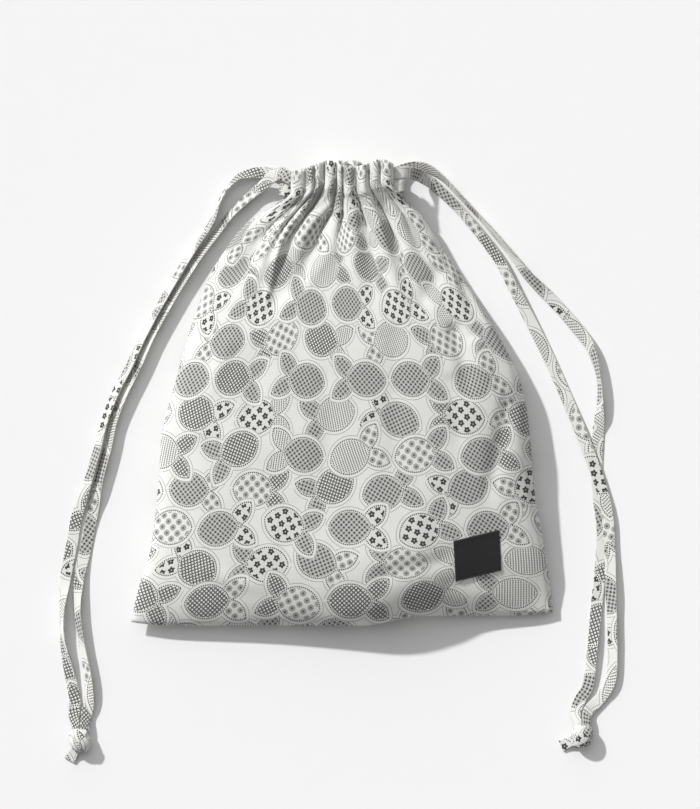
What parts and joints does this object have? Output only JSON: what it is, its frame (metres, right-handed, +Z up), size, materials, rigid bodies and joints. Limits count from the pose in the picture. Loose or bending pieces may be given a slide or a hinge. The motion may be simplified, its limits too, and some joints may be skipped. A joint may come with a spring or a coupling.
{
  "type": "drawstring pouch",
  "caption": "Kinchaku pouch of printed cotton: a hemmed tunnel at the gathered neck, a flat tape drawstring on each side, an overhand knot on each and a woven label.",
  "frame": {"origin": "on the surface the pouch lies on, under the middle of the pouch without its drawstrings", "axes": "+Y from the bottom fold to the gathered neck, +Z up out of the front, +X to the right seen from above"},
  "size_m": [0.3694, 0.3981, 0.0459],
  "materials": {
    "printed_cotton": "off-white cotton sheeting with a dark grey print",
    "cotton_tape": "flat folded tape of the same printed cotton",
    "woven_label": "black damask-woven label"
  },
  "bodies": {
    "root": {"pouch_body": "printed_cotton", "drawstring_left": "cotton_tape", "drawstring_right": "cotton_tape", "knot_left": "cotton_tape", "knot_right": "cotton_tape", "label": "woven_label"}
  },
  "joints": []
}
